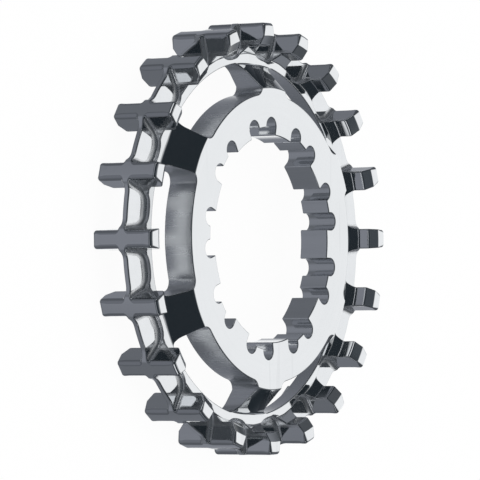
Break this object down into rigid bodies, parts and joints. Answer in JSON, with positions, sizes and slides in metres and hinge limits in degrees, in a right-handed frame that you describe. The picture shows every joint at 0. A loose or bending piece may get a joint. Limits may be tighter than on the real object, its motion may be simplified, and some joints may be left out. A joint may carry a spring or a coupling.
{
  "type": "belt drive sprocket",
  "caption": "Flat steel sprocket for a toothed bicycle belt: wide teeth on a thin centre fin, slotted web and a splined bore that slides onto a rear hub's freewheel body.",
  "frame": {"origin": "on the bore axis, in the middle of the tooth width", "axes": "+Z along the bore axis towards the hub's front face, +X through the middle of a tooth; it lies flat on the ends of its teeth"},
  "size_m": [0.0676, 0.0676, 0.0108],
  "materials": {
    "steel": "polished"
  },
  "bodies": {
    "root": {"sprocket": "steel"}
  },
  "joints": []
}
